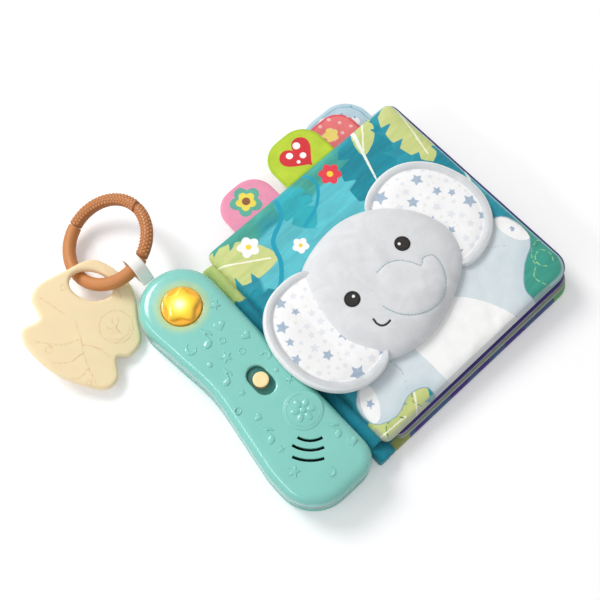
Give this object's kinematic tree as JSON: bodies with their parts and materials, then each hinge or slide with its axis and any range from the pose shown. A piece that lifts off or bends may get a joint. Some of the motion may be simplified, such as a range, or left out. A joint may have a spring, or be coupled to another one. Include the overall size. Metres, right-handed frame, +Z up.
{
  "type": "baby crinkle cloth book with sound module",
  "caption": "Padded crinkle cloth book for a baby, with an elephant head, edge tabs, a sound module along its spine, a ring and a teether.",
  "frame": {"origin": "centre of the back cover's flat underside, on the table that the shut book lies on", "axes": "+Z up through the covers, +X from the sound module and spine to the fore edge, +Y along the spine towards the tabs and the ring"},
  "size_m": [0.2885, 0.253, 0.04],
  "materials": {
    "purple_cloth": "printed woven polyester, slight sheen",
    "lining_cloth": "printed woven polyester, slight sheen",
    "spine_cloth": "woven polyester, slight sheen",
    "leaf_cloth_1": "printed woven polyester, slight sheen",
    "leaf_cloth_2": "printed woven polyester, slight sheen",
    "printed_cloth": "printed woven polyester, soft sheen",
    "green_cloth": "printed satin",
    "pink_cloth": "printed satin",
    "red_cloth": "printed satin",
    "blue_cloth": "printed satin",
    "batting": "polyester batting",
    "crinkle_film": "thin crinkled film",
    "grey_plush": "short pile plush",
    "eye_thread": "satin stitched thread",
    "grey_velour": "velour",
    "star_cloth": "white woven cotton printed with stars",
    "teal_plastic": "smooth, semi-gloss",
    "dark_plastic": "matte",
    "cream_plastic": "semi-gloss",
    "yellow_plastic": "translucent, lit from inside",
    "brown_plastic": "satin",
    "cream_silicone": "matte silicone",
    "white_ribbon": "satin ribbon",
    "screw_steel": "zinc plated",
    "cell_jacket": "printed film, plain",
    "board": "solder mask",
    "lamp": "clear lens",
    "dome_rubber": "matte",
    "speaker_metal": "matte",
    "cone_paper": "matte"
  },
  "bodies": {
    "module_and_back": {"back_cover_outer_cloth": "purple_cloth", "back_cover_crinkle_film": "crinkle_film", "back_cover_padding": "batting", "back_cover_inner_cloth": "lining_cloth", "blue_tab": "blue_cloth", "spine_wrap": "spine_cloth", "upper_case": "teal_plastic", "lower_case": "teal_plastic", "battery_1": "cell_jacket", "battery_2": "cell_jacket", "negative_contact": "screw_steel", "positive_contact": "screw_steel", "bridge_contact": "screw_steel", "case_screw_1": "screw_steel", "case_screw_2": "screw_steel", "case_screw_3": "screw_steel", "binding_clamp_bar": "dark_plastic", "clamp_screw_1": "screw_steel", "clamp_screw_2": "screw_steel", "circuit_board": "board", "board_screw": "screw_steel", "button_lamp": "lamp", "button_dome": "dome_rubber", "volume_switch": "dark_plastic", "speaker_frame": "speaker_metal", "speaker_cone": "cone_paper", "ribbon_anchor": "white_ribbon"},
    "front_cover": {"front_cover_lining": "lining_cloth", "front_cover_crinkle_film": "crinkle_film", "front_cover_padding": "batting", "front_cover_printed_cloth": "printed_cloth", "green_tab": "green_cloth", "head_stuffing": "batting", "head_face": "grey_plush", "left_eye": "eye_thread", "right_eye": "eye_thread", "left_ear_root": "grey_velour", "right_ear_root": "grey_velour"},
    "leaf_1": {"leaf_1_back_cloth": "leaf_cloth_1", "leaf_1_crinkle_film": "crinkle_film", "leaf_1_front_cloth": "leaf_cloth_1", "pink_tab": "pink_cloth"},
    "leaf_2": {"leaf_2_back_cloth": "leaf_cloth_2", "leaf_2_crinkle_film": "crinkle_film", "leaf_2_front_cloth": "leaf_cloth_2", "red_tab": "red_cloth"},
    "left_ear": {"left_ear_border": "grey_velour", "left_ear_pad": "star_cloth"},
    "right_ear": {"right_ear_border": "grey_velour", "right_ear_pad": "star_cloth"},
    "button": {"star_button": "yellow_plastic"},
    "knob": {"switch_knob": "cream_plastic"},
    "door": {"battery_door": "teal_plastic", "battery_door_screw": "screw_steel"},
    "ribbon": {"ribbon_loop": "white_ribbon"},
    "ring": {"ring_textured_half": "brown_plastic", "ring_smooth_half": "brown_plastic"},
    "teether": {"leaf_teether": "cream_silicone"}
  },
  "joints": [
    {"name": "cover_hinge", "type": "hinge", "parent": "module_and_back", "child": "front_cover", "pos_m": [-0.08703, 0, 0.024], "axis": [0, -1, 0], "range_deg": [0, 125]},
    {"name": "leaf_1_hinge", "type": "hinge", "parent": "module_and_back", "child": "leaf_1", "pos_m": [-0.07702, 0, 0.0104], "axis": [0, -1, 0], "range_deg": [0, 90]},
    {"name": "leaf_2_hinge", "type": "hinge", "parent": "module_and_back", "child": "leaf_2", "pos_m": [-0.07702, 0, 0.0075], "axis": [0, -1, 0], "range_deg": [0, 48]},
    {"name": "left_ear_fold", "type": "hinge", "parent": "front_cover", "child": "left_ear", "pos_m": [-0.06735, -0.0038, 0.03014], "axis": [0, 1, 0], "range_deg": [0, 127]},
    {"name": "right_ear_fold", "type": "hinge", "parent": "front_cover", "child": "right_ear", "pos_m": [0.03932, 0.0094, 0.03209], "axis": [0.2584, -0.9659, 0.0149], "range_deg": [0, 150]},
    {"name": "star_button_press", "type": "slide", "parent": "module_and_back", "child": "button", "axis": [0, 0, -1], "range_m": [0, 0.002], "stiffness_N_per_m": 500, "springref_m": -0.001, "deforming": ["button_dome"]},
    {"name": "volume_slide", "type": "slide", "parent": "module_and_back", "child": "knob", "axis": [0, 1, 0], "range_m": [-0.0038, 0.0038]},
    {"name": "battery_door_hinge", "type": "hinge", "parent": "module_and_back", "child": "door", "pos_m": [-0.12323, 0.0236, 0], "axis": [1, 0, 0], "range_deg": [0, 70]},
    {"name": "ribbon_bend", "type": "hinge", "parent": "module_and_back", "child": "ribbon", "pos_m": [-0.12152, 0.0985, 0.019], "axis": [1, 0, 0], "range_deg": [0, 30]},
    {"name": "ring_swing", "type": "hinge", "parent": "ribbon", "child": "ring", "pos_m": [-0.12244, 0.10949, 0.02372], "axis": [0.9505, 0.0965, 0.2953], "range_deg": [0, 50]},
    {"name": "teether_round_ring", "type": "hinge", "parent": "ring", "child": "teether", "pos_m": [-0.12352, 0.1377, 0.018], "axis": [-0.3084, 0.1776, 0.9345], "range_deg": [-120, 0]}
  ],
  "couplings": [
    {"joint": "leaf_1_hinge", "follows": "cover_hinge", "ratio": 0.7},
    {"joint": "leaf_2_hinge", "follows": "cover_hinge", "ratio": 0.36},
    {"joint": "left_ear_fold", "follows": "cover_hinge", "ratio": 1}
  ]
}
